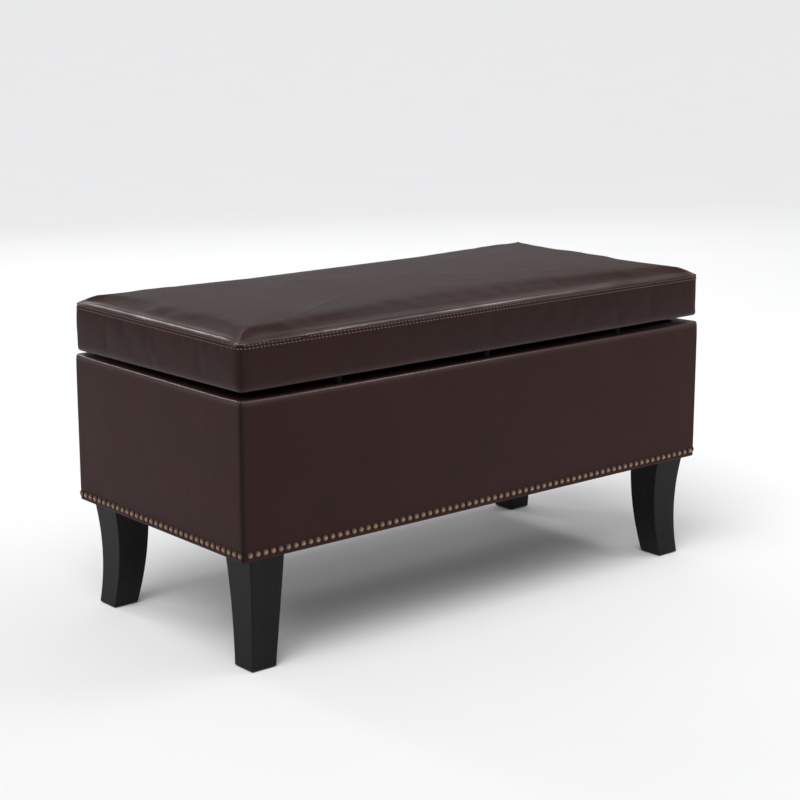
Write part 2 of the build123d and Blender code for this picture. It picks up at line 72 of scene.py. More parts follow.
# %% Camera
view_turn, view_rise, view_distance = radians(-40.1), radians(14.13), 2.975
fitted_target = Vector((0, 0, 0.22))
aim = Vector((0, 0, 0.285))
toward_camera = Vector((sin(view_turn) * cos(view_rise), -cos(view_turn) * cos(view_rise),
                        sin(view_rise)))
lens = bpy.data.cameras.new("studio_camera")
lens.lens = 86
lens.clip_end = 500
camera = bpy.data.objects.new("studio_camera", lens)
bpy.context.collection.objects.link(camera)
camera.location = fitted_target + toward_camera * view_distance
camera.rotation_euler = (aim - camera.location).to_track_quat("-Z", "Y").to_euler()
bpy.context.scene.camera = camera
bpy.context.scene.view_settings.view_transform = "Standard"
print("camera at", [round(v, 3) for v in camera.location])


# %% Lights
def lamp(name, kind, place, at, **settings):
    """A light at one place, pointing at another."""
    light = bpy.data.lights.new(name, kind)
    for key, value in settings.items():
        setattr(light, key, value)
    holder = bpy.data.objects.new(name, light)
    bpy.context.collection.objects.link(holder)
    holder.location = place
    holder.rotation_euler = (Vector(at) - Vector(place)).to_track_quat("-Z", "Y").to_euler()
    return holder


lamp("wide_window", "SUN", (-2.3, -1.2, 3.8), (0, 0, 0.2), energy=2.2, angle=radians(50))
lamp("front_softbox", "AREA", (1.6, -3.4, 1.5), (0.1, 0, 0.25), energy=7, shape="RECTANGLE",
     size=2.2, size_y=1.2)
lamp("back_strip", "AREA", (1.6, 3.4, 1.7), (0, 0, 0.45), energy=15, shape="RECTANGLE",
     size=4.2, size_y=0.9)
lamp("left_roll_glint", "AREA", (-0.7, 2.4, 2.1), (-0.45, 0, 0.46), energy=9, shape="DISK",
     size=0.6)
lamp("front_roll_glint", "AREA", (1.74, -0.77, 2.56), (0, -0.2, 0.46), energy=16,
     shape="RECTANGLE", size=1.8, size_y=0.3)
world = bpy.data.worlds.new("studio_air")
world.use_nodes = True
world.node_tree.nodes["Background"].inputs["Color"].default_value = (0.86, 0.87, 0.90, 1)
world.node_tree.nodes["Background"].inputs["Strength"].default_value = 0.42
bpy.context.scene.world = world


# %% [markdown]
# ## Shader sums as plain Python
# A finish is a small sum: grain plus wrinkles, or a pale tint where the hide is rubbed. Wiring
# Math nodes by hand hides that sum, so one class wraps a socket and lets Python's own signs add
# the nodes. Its other half is one method that adds any node at all.

# %% The two classes
class Socket:
    """An output that can stand in a Python sum."""

    def __init__(self, finish, link):
        self.finish, self.link = finish, link

    def sum(self, operation, first, second=0.0):
        return self.finish.node("ShaderNodeMath", {"operation": operation},
                                {0: first, 1: second})

    def __add__(self, other):
        return self.sum("ADD", self, other)

    def __radd__(self, other):
        return self.sum("ADD", other, self)

    def __sub__(self, other):
        return self.sum("SUBTRACT", self, other)

    def __rsub__(self, other):
        return self.sum("SUBTRACT", other, self)

    def __mul__(self, other):
        return self.sum("MULTIPLY", self, other)

    def __rmul__(self, other):
        return self.sum("MULTIPLY", other, self)

    def __pow__(self, other):
        return self.sum("POWER", self, other)

    def __abs__(self):
        return self.sum("ABSOLUTE", self)


class Finish:
    """One material, built on the Principled shader."""

    def __init__(self, name, **fixed):
        self.material = bpy.data.materials.new(name)
        self.material.use_nodes = True
        self.tree = self.material.node_tree
        self.shader = self.tree.nodes["Principled BSDF"]
        for key, value in fixed.items():
            self.shader.inputs[key.replace("_", " ")].default_value = value
        self.place = self.node("ShaderNodeTexCoord", output="Object")

    def node(self, kind, settings=None, values=None, output=0):
        """Any node: its settings first, then its sockets' values or links."""
        made = self.tree.nodes.new(kind)
        for key, value in (settings or {}).items():
            if key == "stops":
                for stop, (at, shade) in zip(made.color_ramp.elements, value):
                    stop.position, stop.color = at, (shade, shade, shade, 1)
            else:
                setattr(made, key, value)
        for key, value in (values or {}).items():
            if isinstance(value, Socket):
                self.tree.links.new(value.link, made.inputs[key])
            else:
                made.inputs[key].default_value = value
        return Socket(self, made.outputs[output])

    def clouds(self, scale, detail=3.0, rough=0.5, stretch=(1, 1, 1)):
        """Soft noise, from 0 to 1, with so many clouds to a metre."""
        at = self.node("ShaderNodeMapping", None, {"Vector": self.place, "Scale": stretch})
        return self.node("ShaderNodeTexNoise", None,
                         {"Vector": at, "Scale": scale, "Detail": detail, "Roughness": rough})

    def pebbles(self, scale):
        """Small rounded cells with a crease between them."""
        return self.node("ShaderNodeTexVoronoi", {"feature": "DISTANCE_TO_EDGE"},
                         {"Vector": self.place, "Scale": scale}, "Distance")

    def ramp(self, value, *stops):
        return self.node("ShaderNodeValToRGB", {"stops": stops}, {"Fac": value}, "Color")

    def blend(self, amount, low, high):
        """A colour between two colours."""
        return self.node("ShaderNodeMix", {"data_type": "RGBA"}, {0: amount, 6: low, 7: high}, 2)

    def marked(self, name):
        """A number painted on the mesh's points."""
        return self.node("ShaderNodeAttribute", {"attribute_name": name}, None, "Fac")

    def wear(self, **varying):
        """Join what varies over the surface to the shader's own sockets."""
        for key, value in varying.items():
            self.tree.links.new(value.link, self.shader.inputs[key.replace("_", " ")])

    def bump(self, height, depth):
        """Raise the surface by height, a number around 0 to 1, times depth in metres."""
        normal = self.node("ShaderNodeBump", None,
                           {"Height": height, "Distance": depth, "Strength": 1.0}, "Normal")
        self.tree.links.new(normal.link, self.shader.inputs["Normal"])
        return self


# %% [markdown]
# ## The leather
# The cover is smooth bonded leather: a dark espresso brown with a faint red in it, a fine
# pebbled grain of about a millimetre, and a satin top coat that shines only where the hide is
# stretched over an edge. Three scales are needed. The grain is too fine to see from afar but
# softens each highlight, slow clouds keep a large panel from looking like paint, and numbers
# painted on the mesh tell the shader where it is. The first marks the edges, which are painted
# paler: partly wear, and partly a painted highlight along the rolled edges and the lid's foot.
# The second marks the seams, the corner darts and the lid's band, which are painted darker as
# painted shade. The third marks the flat of the lid's top. There the hide is pulled from corner
# to corner, which shows as two faint raised lines, also painted a little paler as a painted
# highlight. Lines so thin would need a very fine mesh, so they are made in the shader, from the
# distance to each diagonal.

# %% Leather
leather = Finish("espresso_leather", Specular_IOR_Level=0.15, Coat_Roughness=0.2)
rub_and_highlight = leather.marked("rub_and_highlight")
seam_shade = leather.marked("seam_shade")
mottle = leather.clouds(9, 4, 0.6)
streak = leather.clouds(34, 3, 0.55, (1, 1, 0.4))
hide = leather.blend(mottle, (0.016, 0.0044, 0.0040, 1), (0.036, 0.0118, 0.0098, 1))
# Edges are painted paler: partly wear, and partly a painted highlight along the rolled edges and
# the lid's foot.
pale_wear_and_highlight = (0.075, 0.046, 0.036, 1)
hide = leather.blend(rub_and_highlight * 0.55, hide, pale_wear_and_highlight)
# Seams, corner darts and the whole band of the lid are painted darker here: this is painted shade.
hide = leather.blend(seam_shade * 0.9, hide, (0.004, 0.0016, 0.0015, 1))
grain = leather.ramp(leather.pebbles(760), (0.0, 0.0), (0.16, 1.0))
creases = leather.ramp(leather.clouds(62, 5, 0.62), (0.38, 0.0), (0.62, 1.0))


def tension_line(lean):
    """A faint raised line across the lid's top, from one corner to the opposite one."""
    wander, half_width = 22 * MM, 1 / 260
    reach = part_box("lid_boxing")[1]
    spacing = reach.x * reach.y / hypot(reach.x, reach.y)
    x, y = (leather.node("ShaderNodeSeparateXYZ", None, {"Vector": leather.place}, axis)
            for axis in "XY")
    off = y * (spacing / reach.y) - x * (lean * spacing / reach.x)
    off = off + (leather.clouds(5, 1) - 0.5) * wander
    return leather.ramp(abs(off) * (1 / half_width), (0.0, 1.0), (1.0, 0.0))


tension_ridge_and_highlight = (tension_line(1) + tension_line(-1)) * leather.marked("top")
# The raised tension lines are also painted paler: a painted highlight.
hide = leather.blend(tension_ridge_and_highlight * 0.12, hide, pale_wear_and_highlight)
leather.wear(Base_Color=hide,
             Roughness=0.44 + mottle * 0.12 + streak * 0.06 - rub_and_highlight * 0.12,
             Coat_Weight=rub_and_highlight * 0.8)
leather.bump(grain * 0.35 + creases * 0.5 + leather.clouds(240, 3) * 0.4 + tension_ridge_and_highlight * 2.2,
             0.00022)
print("leather nodes", len(leather.tree.nodes))

# %% [markdown]
# ## The other finishes
# The legs are birch stained nearly black under satin lacquer, with the grain running down them.
# The nails are steel with an antique bronze plating, bright on the crown and dark in the rim.
# The hinge leaves and screws are zinc plated, the stays are black enamel, the lining is a matte
# black felted cloth, and the board, foam, plastic and rubber are seen only in glimpses.

# %% Wood, bronze and steel
wood = Finish("ebonised_wood", Specular_IOR_Level=0.11, Coat_Roughness=0.3)
figure = wood.clouds(46, 4, 0.6, (1, 1, 0.07))
pores = wood.ramp(wood.clouds(420, 2, 0.5, (1, 1, 0.035)), (0.42, 0.0), (0.5, 1.0))
wood.wear(Base_Color=wood.blend(figure, (0.0035, 0.0034, 0.0033, 1), (0.0105, 0.0098, 0.009, 1)),
          Roughness=0.38 + figure * 0.16, Coat_Weight=0.02 + figure * 0.08)
wood.bump(pores * 0.6 + figure * 0.4, 0.00012)

bronze = Finish("antique_bronze", Specular_IOR_Level=0.5)
tone = bronze.clouds(95, 2)
crown = bronze.marked("crown")
bronze.wear(Base_Color=bronze.blend(crown ** 1.7 * (0.6 + tone * 0.5), (0.018, 0.008, 0.006, 1),
                                    (0.42, 0.27, 0.175, 1)),
            Metallic=0.5 + crown * 0.5, Roughness=0.42 - crown * 0.22 + tone * 0.06)
bronze.bump(bronze.clouds(900, 2), 0.00004)

zinc = Finish("zinc_steel", Metallic=1.0)
brushed = zinc.clouds(500, 3, 0.6, (0.06, 1, 1))
zinc.wear(Base_Color=zinc.blend(zinc.clouds(60), (0.42, 0.41, 0.38, 1), (0.66, 0.65, 0.60, 1)),
          Roughness=0.26 + brushed * 0.22)
zinc.bump(brushed, 0.00003)

enamel = Finish("black_steel", Specular_IOR_Level=0.5)
orange_peel = enamel.clouds(420, 2)
enamel.wear(Base_Color=enamel.blend(enamel.clouds(70, 4), (0.010, 0.010, 0.010, 1),
                                    (0.030, 0.029, 0.028, 1)),
            Roughness=0.32 + enamel.clouds(60) * 0.2)
enamel.bump(orange_peel, 0.00006)

# %% Cloth, board, foam, plastic, rubber and thread
lining = Finish("black_lining", Sheen_Weight=0.08, Sheen_Roughness=0.5, Specular_IOR_Level=0.08)
fibres = lining.clouds(900, 4, 0.7, (1, 0.3, 1)) + lining.clouds(900, 4, 0.7, (0.3, 1, 1))
lining.wear(Base_Color=lining.blend(fibres * 0.5, (0.0045, 0.0039, 0.004, 1),
                                    (0.017, 0.014, 0.014, 1)),
            Roughness=0.85 + lining.clouds(30) * 0.12)
lining.bump(fibres * 0.5 + lining.pebbles(420) * 2, 0.0003)

board = Finish("board_wood", Specular_IOR_Level=0.3)
plies = board.clouds(30, 4, 0.6, (0.08, 0.3, 1))
board.wear(Base_Color=board.blend(plies, (0.36, 0.24, 0.13, 1), (0.62, 0.47, 0.30, 1)),
           Roughness=0.7 + plies * 0.15)
board.bump(board.clouds(300, 3, 0.6, (0.1, 1, 1)), 0.0002)

foam = Finish("padding_foam", Specular_IOR_Level=0.2)
cells = foam.pebbles(600)
foam.wear(Base_Color=foam.blend(foam.clouds(40), (0.74, 0.68, 0.46, 1), (0.85, 0.80, 0.62, 1)),
          Roughness=0.9 + cells * 0.2)
foam.bump(cells * 3, 0.0006)

plastic = Finish("glide_plastic")
plastic.wear(Base_Color=plastic.blend(plastic.clouds(80), (0.045, 0.045, 0.045, 1),
                                      (0.09, 0.088, 0.085, 1)),
             Roughness=0.5 + plastic.clouds(200) * 0.2)
plastic.bump(plastic.clouds(700), 0.00005)

rubber = Finish("bumper_rubber", Specular_IOR_Level=0.1)
rubber.wear(Base_Color=rubber.blend(rubber.clouds(120), (0.004, 0.0035, 0.0035, 1),
                                    (0.010, 0.009, 0.009, 1)),
            Roughness=0.7 + rubber.clouds(300) * 0.2)
rubber.bump(rubber.clouds(900), 0.00006)

thread = Finish("waxed_thread", Specular_IOR_Level=0.5)
twist = thread.clouds(700, 2, 0.5)
thread.wear(Base_Color=thread.blend(twist, (0.06, 0.038, 0.031, 1), (0.21, 0.15, 0.125, 1)),
            Roughness=0.42 + twist * 0.2)
thread.bump(twist, 0.0001)

finishes = {"espresso_leather": leather, "antique_bronze": bronze, "ebonised_wood": wood,
            "board_wood": board, "padding_foam": foam, "black_lining": lining,
            "zinc_steel": zinc, "black_steel": enamel, "glide_plastic": plastic,
            "bumper_rubber": rubber}
for node, part in frame["nodes"].items():
    for slot in part.material_slots:
        slot.material = finishes[slot_of[node]].material
print("finishes", list(finishes))


# %% [markdown]
# ## Tools for soft pieces
# Each soft piece starts as one block whose edges are bevelled and which is then cut across by
# planes, close together near seams and corners and further apart in the middle. That gives
# clean rows of faces to move, where a remesh would lose the seams. The last step is always the
# same: turn the bmesh into an object, give it its finish, and let it ride on its body.

# %% Helpers
def piece(shape, name, finish, body, stands_for=()):
    """Turn a bmesh into a finished piece of the bench."""
    mesh = bpy.data.meshes.new(name)
    shape.to_mesh(mesh)
    shape.free()
    mesh.polygons.foreach_set("use_smooth", [True] * len(mesh.polygons))
    made = bpy.data.objects.new(name, mesh)
    bpy.context.collection.objects.link(made)
    mesh.materials.append(finish.material)
    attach(made, body)
    if stands_for:
        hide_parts(*stands_for)
    print(name, len(mesh.polygons), "faces on", body)
    return made


def spread(high, coarse, fine, margin):
    """Places from near the middle out to high: coarse steps, then fine ones in the margin."""
    inner = high - margin
    count = round(inner / coarse)
    places = [inner * n / count for n in range(1, count + 1)]
    return places + [inner + fine * n for n in range(1, int(margin / fine))]


def quarter(shape):
    """Keep the quarter of a shape that lies towards +X and +Y."""
    for normal in ((1, 0, 0), (0, 1, 0)):
        bmesh.ops.bisect_plane(shape, geom=shape.verts[:] + shape.edges[:] + shape.faces[:],
                               dist=1e-6, plane_co=(0, 0, 0), plane_no=normal, clear_inner=True)


def whole(shape):
    """Mirror a quarter twice, welding it along its open edges."""
    for axis in "XY":
        bmesh.ops.mirror(shape, geom=shape.verts[:] + shape.edges[:] + shape.faces[:],
                         matrix=Matrix.Identity(4), merge_dist=1e-5, axis=axis)
    bmesh.ops.recalc_face_normals(shape, faces=shape.faces)


def slice_across(shape, axis, places):
    """Cut every face along planes across one axis."""
    normal = Vector([i == axis for i in range(3)])
    for place in places:
        bmesh.ops.bisect_plane(shape, geom=shape.verts[:] + shape.edges[:] + shape.faces[:],
                               dist=1e-6, plane_co=normal * place, plane_no=normal)


def upright(edge):
    """Whether an edge stands straight up."""
    a, b = (v.co for v in edge.verts)
    return abs(a.x - b.x) < 1e-6 and abs(a.y - b.y) < 1e-6


def level_edges(shape, level):
    """The edges round a block's top face or bottom face."""
    return [e for e in shape.edges
            if all(abs(v.co.z - level) < 1e-6 for v in e.verts) and len(e.link_faces) == 2
            and any(abs(f.normal.z) < 0.5 for f in e.link_faces)]


def soften(shape, edges, radius, segments):
    """Round some edges over."""
    bmesh.ops.bevel(shape, geom=edges, offset=radius, offset_type="OFFSET", segments=segments,
                    profile=0.5, affect="EDGES", material=-1, clamp_overlap=True)
    shape.normal_update()


def rounded_block(half_x, half_y, low, high, corner, top, bottom, steps=4):
    """A block with rounded uprights and softened top and bottom edges."""
    shape = bmesh.new()
    bmesh.ops.create_cube(shape, size=1)
    bmesh.ops.scale(shape, vec=(2 * half_x, 2 * half_y, high - low), verts=shape.verts)
    bmesh.ops.translate(shape, vec=(0, 0, (low + high) / 2), verts=shape.verts)
    soften(shape, [e for e in shape.edges if upright(e)], corner, steps)
    soften(shape, level_edges(shape, high), top, 3)
    soften(shape, level_edges(shape, low), bottom, 2)
    return shape


def falloff(distance, width):
    """1 on a line, fading to 0 either side of it."""
    return exp(-(distance / width) ** 2)


def sign(value):
    """1 for what is above 0, and -1 for the rest."""
    return 1 if value > 0 else -1


def off_corner(gx, gy, corner):
    """How far a point of a wall is from the middle of its rounded upright corner."""
    return abs(gx - gy) / 2 if max(gx, gy) < corner else max(gx, gy)


def paint(made, name, values):
    """Store a number on each point, for a finish to read by its name."""
    mark = made.data.attributes.new(name, "FLOAT", "POINT")
    mark.data.foreach_set("value", values)


def add_modifier(made, kind, **settings):
    """Give a piece a modifier that stays on it."""
    modifier = made.modifiers.new(kind.lower(), kind)
    for key, value in settings.items():
        setattr(modifier, key, value)


# %% [markdown]
# ## The lid's padded cover
# The lid is a slab of foam in a boxed cover: a top panel, a band round the sides, and a seam
# where they meet, with the band turned under the board. Foam pushes the top into a low crown
# whose slopes meet along faint lines from corner to corner. A plain block can't show any of
# that. Here a sliced block is given the crown, its seam and its turned edge are pinned, and a
# cloth simulation blows the panels up a little, with slightly more leather than the frame
# needs, so that it puckers against the seam by itself. The CAD foam, top and band are replaced.

# %% The cover's starting shape
band_low, band_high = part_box("lid_boxing")
half_x, half_y = band_high.x, band_high.y
seam_level, lid_bottom = band_high.z, band_low.z
under_x, under_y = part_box("lid_lining")[1].xy
roll, lid_corner, roll_bevel, foot_bevel = 8.5 * MM, 9 * MM, 6.5 * MM, 4.5 * MM
coarse_cut, fine_cut, fine_margin = 9 * MM, 3.4 * MM, 44 * MM
band_cuts = (-52, -44, -36, -29, -22, -16, -11, -8, -6.2, -4.4, -2.6, -1, 0, 1)

lid = rounded_block(half_x, half_y, lid_bottom, seam_level + roll, lid_corner, roll_bevel,
                    foot_bevel)
quarter(lid)
slice_across(lid, 2, [seam_level + cut * MM for cut in band_cuts])
for axis, reach, under in ((1, half_y, under_y), (0, half_x, under_x)):
    slice_across(lid, axis, spread(reach, coarse_cut, fine_cut, fine_margin)
                 + [under, under - MM])
whole(lid)
print("lid block", len(lid.verts), "points")


# %% Crown, and which points the seams hold
lining_recess = 2.2 * MM


def corner_gap(p):
    """How far a point is inside the nearest upright corner, along x and along y."""
    return half_x - abs(p.x), half_y - abs(p.y)


def crown_height(p):
    """The top panel's height over its edge: a rolled rim, a valley, a crown and four hips."""
    gx, gy = corner_gap(p)
    along, across = abs(p.x) / half_x, abs(p.y) / half_y
    rim = 4.2 * MM * (1 - exp(-max(min(gx, gy) - 5 * MM, 0) / (22 * MM)))
    valley = 1.6 * MM * falloff(min(gx, gy) - 24 * MM, 11 * MM)
    valley *= 1 - exp(-hypot(gx, gy) / (50 * MM))
    swell = 3.2 * MM * (1 - along ** 4) * (1 - across ** 2)
    hips = 1.8 * MM * (1 - max(along, across))
    return rim - valley + swell + hips


def over_lining(p):
    """Whether a point of the cover's underside lies over the lid's lining."""
    return (p.z < lid_bottom + 0.1 * MM and abs(p.x) < under_x - 0.5 * MM
            and abs(p.y) < under_y - 0.5 * MM)


for v in lid.verts:
    if v.co.z > seam_level + 2 * MM:
        v.co.z += crown_height(v.co)
    elif over_lining(v.co):
        v.co.z += lining_recess
lid_cover = piece(lid, "lid_cover", leather, "lid",
                  ("lid_top_leather", "lid_boxing", "lid_foam"))
start = [v.co.copy() for v in lid_cover.data.vertices]
held = [i for i, p in enumerate(start)
        if p.z < lid_bottom + 3 * MM or abs(p.z - seam_level) < 0.5 * MM]
print("held points", len(held), "of", len(start))


# %% Blow the cover up
def blow_up(made, held, pressure, spare, cap, frames=20):
    """Swell a closed cover as cloth, holding some points, moving none beyond the cap."""
    group = made.vertex_groups.new(name="held")
    group.add(held, 1.0, "REPLACE")
    before = [v.co.copy() for v in made.data.vertices]
    swell = made.modifiers.new("swell", "CLOTH")
    swell.settings.quality = 6
    swell.settings.mass = 0.4
    swell.settings.tension_stiffness = swell.settings.compression_stiffness = 18
    swell.settings.shear_stiffness = 8
    swell.settings.bending_stiffness = 1.2
    swell.settings.use_pressure = True
    swell.settings.uniform_pressure_force = pressure
    swell.settings.shrink_min = -spare
    swell.settings.vertex_group_mass = "held"
    swell.settings.effector_weights.gravity = 0
    swell.collision_settings.use_collision = False
    scene = bpy.context.scene
    for step in range(1, frames + 1):
        scene.frame_set(step)
    blown = made.evaluated_get(bpy.context.evaluated_depsgraph_get()).data
    travel = 0
    for v, was, now in zip(made.data.vertices, before, blown.vertices):
        move = now.co - was
        travel = max(travel, move.length)
        v.co = was + move * min(1, cap / max(move.length, 1e-9))
    made.modifiers.remove(swell)
    made.vertex_groups.remove(group)
    scene.frame_set(1)
    print(made.name, "most travel", round(travel * 1000, 1), "mm, capped at", cap * 1000)


blow_up(lid_cover, held, pressure=3.5, spare=0.002, cap=3.5 * MM)


# %% [markdown]
# ## Seams, gathers and folds
# A seam pulls the leather in along a narrow groove, which a cloth simulation on faces of a few
# millimetres rounds away. At each upright corner the band is sewn in a dart and gathered, and the
# top panel is drawn down and in, with small folds fanning out from it. These are all much smaller
# than the lid, so they are worked out as formulas and added to the blown-up points. Each formula
# reads a point's starting place, where its distance from a seam or a corner is exact.

# %% The band's grooves, darts and gathers
hinge_x = sum(corner.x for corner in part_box("hinge_box_leaf_right")) / 2
hinge_clear = 40 * MM
print("hinges", round(hinge_x / MM, 3), "mm either side of the middle")


def outward(p):
    """Sideways direction out of the lid at a point of its band."""
    gx, gy = corner_gap(p)
    if gx < lid_corner and gy < lid_corner:
        return Vector((p.x - (half_x - lid_corner) * sign(p.x),
                       p.y - (half_y - lid_corner) * sign(p.y), 0)).normalized()
    return Vector((sign(p.x), 0, 0)) if gx < gy else Vector((0, sign(p.y), 0))


def back_dip(was):
    """How much lower the cover's edge hangs towards the back, clear of the hinges."""
    toward_back = (was.y + half_y) / (2 * half_y)
    at_hinge = was.y > 0 and abs(abs(was.x) - hinge_x) < hinge_clear
    reach = max(0, 1 - max(0, min(corner_gap(was)) - 6 * MM) / (8 * MM))
    fade = max(0, 1 - (was.z - lid_bottom) / (30 * MM))
    return 5.4 * MM * toward_back * (not at_hinge) * reach * fade


def band_move(was):
    """How far a point of the band goes out: seam groove, bulge, corner dart and gathers."""
    gx, gy = corner_gap(was)
    along = max(gx, gy)
    below = seam_level - was.z
    out = -1.7 * MM * falloff(below, 1.3 * MM)
    if 2 * MM < below < 58 * MM:
        out += 1.0 * MM * sin(pi * min(1, (below - 2 * MM) / (56 * MM)))
        out -= 1.9 * MM * falloff(off_corner(gx, gy, lid_corner), 3 * MM)
        out -= 0.9 * MM * falloff(gx - 8 * MM, 5 * MM) * (gx > gy)
        folds = sin(along / MM * 0.55 + 1.3 * sin(was.z / MM * 0.09))
        out += 0.55 * MM * folds * exp(-along / (22 * MM)) * (0.2 + exp(-below / (14 * MM)))
        tug = noise.noise(Vector((was.x * 14, was.y * 14, was.z * 6)))
        out += 0.3 * MM * tug * exp(-below / (30 * MM)) + 0.2 * MM * tug
    return out


# %% The top's folds
def over_seam(was):
    """0 at the seam, rising to 1 on top of the roll."""
    return min(1, max(0, was.z - seam_level - MM) / (7.5 * MM))


def top_move(was):
    """How far a point of the top goes up: folds fanning from a corner, and a drawn-down corner."""
    gx, gy = corner_gap(was)
    reach = hypot(gx, gy)
    turn = (gx - gy) / max(reach, 1e-6)
    fan = 0.6 * MM * sin(turn * 11) * exp(-reach / (24 * MM)) * min(1, reach / (6 * MM))
    diagonal = abs(abs(was.x) / half_x - abs(was.y) / half_y) * half_y
    fold = 0.8 * MM * falloff(diagonal, 4.5 * MM) * exp(-reach / 0.35)
    fold *= (1 + 0.3 * sign(was.x * was.y)) * min(1, reach / (70 * MM))
    slow = noise.noise(Vector((was.x * 7, was.y * 9, 3.7)))
    drop = 2.4 * MM * falloff(reach, 26 * MM) * over_seam(was)
    return fan + fold - drop + 0.6 * MM * slow * min(1, min(gx, gy) / (50 * MM))


def corner_pull(was):
    """How the lid's corner is drawn in towards the middle of its top."""
    inward = -Vector((sign(was.x), sign(was.y), 0)).normalized()
    return inward * 3.0 * MM * falloff(hypot(*corner_gap(was)), 16 * MM) * over_seam(was)


for v, was in zip(lid_cover.data.vertices, start):
    if was.z > seam_level + 2 * MM:
        v.co.z += top_move(was)
        v.co += corner_pull(was)
    elif was.z > lid_bottom + 1 * MM:
        v.co += outward(was) * band_move(was)
    if was.z < seam_level:
        v.co.z -= back_dip(was)
print("lid cover's top", round(max(v.co.z for v in lid_cover.data.vertices), 4))

# %% Marks that the leather reads
marks = {"top": [], "rub_and_highlight": [], "seam_shade": []}
for was in start:
    gx, gy = corner_gap(was)
    rim = min(gx, gy)
    marks["top"].append((was.z > seam_level + 3 * MM) * min(1, max(0, rim - 12 * MM) / (30 * MM)))
    # The rolled edge of the top, with noise for wear, and a line along the band's foot are painted
    # paler: partly wear, partly a painted highlight.
    edge = falloff(rim - 2 * MM, 6 * MM) * (was.z > seam_level + 1.5 * MM)
    worn = 0.65 + 0.5 * noise.noise(Vector((was.x * 22, was.y * 22, 1)))
    marks["rub_and_highlight"].append(edge * worn + 0.6 * falloff(was.z - lid_bottom - 2 * MM, 2 * MM))
    # The dart at each corner, a zone just beside it, the seam line and the whole band at 0.22 are
    # painted darker: painted shade.
    dart_shade = 0.9 * falloff(off_corner(gx, gy, lid_corner), 3.5 * MM)
    shaded = 0.45 * falloff(gx - 7 * MM, 5 * MM) * (gx > gy)
    marks["seam_shade"].append(max(falloff(was.z - seam_level, 0.9 * MM),
                             max(dart_shade, shaded, 0.22) * (was.z < seam_level)))
for name, values in marks.items():
    paint(lid_cover, name, values)
add_modifier(lid_cover, "SUBSURF", levels=1, render_levels=1)

# %% [markdown]
# ## The lid's board
# Under the foam is a plain board, as large as the lid. The cover's foot is rounded now, so the
# board's sharp edge would show below it as a pale line. The board is made again a little
# smaller, with its own corners and edges eased, as a joiner would before stretching leather
# over it.

# %% The lid's board
board_inset, board_corner, board_edge = 5 * MM, 6 * MM, 2 * MM
board_low, board_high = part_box("lid_board")
softened_board = rounded_block(half_x - board_inset, half_y - board_inset, board_low.z,
                               board_high.z, board_corner, board_edge, board_edge)
piece(softened_board, "lid_softened_board", board, "lid", ("lid_board",))

# %% [markdown]
# ## Topstitching
# Two rows of waxed thread run round the lid, one on each side of its seam, about three
# millimetres from it. Real stitches are short raised dashes. A line drawn in the material would
# vanish against the light, so each stitch is a small rounded bead, laid on the blown-up leather
# by asking a search tree for the nearest point. There are more than eight hundred, so a bead has
# only two dozen faces.

# %% Lay the stitches
stitch_step, stitch_lift, line_out = 6.4 * MM, 0.15 * MM, 2 * MM
below_seam, above_seam = 4.4 * MM, 1.6 * MM


def round_path(reach_x, reach_y, corner, step):
    """Points and directions along a rectangle with rounded corners."""
    straight_x, straight_y = 2 * (reach_x - corner), 2 * (reach_y - corner)
    bend = corner * pi / 2
    legs = [straight_x, bend, straight_y, bend] * 2
    count = round(sum(legs) / step)
    for n in range(count):
        left = n * sum(legs) / count
        at, facing = Vector((-reach_x + corner, -reach_y, 0)), 0.0
        for i, run in enumerate(legs):
            now = min(left, run)
            heading = Vector((cos(facing), sin(facing), 0))
            if i % 2 == 0:
                at = at + heading * now
            else:
                turn = now / corner
                middle = at + Vector((-sin(facing), cos(facing), 0)) * corner
                at = middle + Matrix.Rotation(turn, 3, "Z") @ (at - middle)
                facing += turn
            left -= now
            if left <= 1e-9:
                break
        yield at, Vector((cos(facing), sin(facing), 0))


def surface_of(made):
    """A search tree over a piece as it will be rendered."""
    return BVHTree.FromObject(made, bpy.context.evaluated_depsgraph_get())


def set_down(shape, pattern, matrix):
    """Add a copy of a small mesh to a bmesh, at a place."""
    pattern.transform(matrix)
    shape.from_mesh(pattern)
    pattern.transform(matrix.inverted())


def pattern_of(shape, name):
    """A small mesh to set down many times, made from a bmesh."""
    mesh = bpy.data.meshes.new(name)
    shape.to_mesh(mesh)
    shape.free()
    return mesh


def bead(run, wide, tall):
    """One stitch: a small rounded dash lying along X."""
    shape = bmesh.new()
    bmesh.ops.create_uvsphere(shape, u_segments=6, v_segments=4, radius=1)
    bmesh.ops.scale(shape, vec=(run, wide, tall), verts=shape.verts)
    return pattern_of(shape, "stitch")


def stitch_row(shape, tree, height, out, step, stitch):
    """Lay stitches on the lid, nearest to a line that runs round it a little way out."""
    for at, heading in round_path(half_x + out, half_y + out, lid_corner + out, step):
        spot, normal, _, _ = tree.find_nearest(at + Vector((0, 0, height)))
        side = normal.cross(heading).normalized()
        turn = Matrix((heading, side, normal)).transposed().to_4x4()
        set_down(shape, stitch, Matrix.Translation(spot + normal * stitch_lift) @ turn)


lid_surface = surface_of(lid_cover)
stitches = bmesh.new()
lid_stitch = bead(run=2.3 * MM, wide=0.7 * MM, tall=0.55 * MM)
for height in (seam_level - below_seam, seam_level + above_seam):
    stitch_row(stitches, lid_surface, height, line_out, stitch_step, lid_stitch)
piece(stitches, "lid_topstitching", thread, "lid")

# %% [markdown]
# ## The box's cover
# Each side of the box is leather drawn over thin padding, rolled over the rim and under the
# foot, and sewn at the upright corners. The panels look flat but aren't: they swell about a
# millimetre in the middle, dip where the row of nails pins them, and sink into the corner
# seams. One rounded block is sliced, opened at the top and bottom where the box is open, and
# given the leather's own thickness by Solidify.

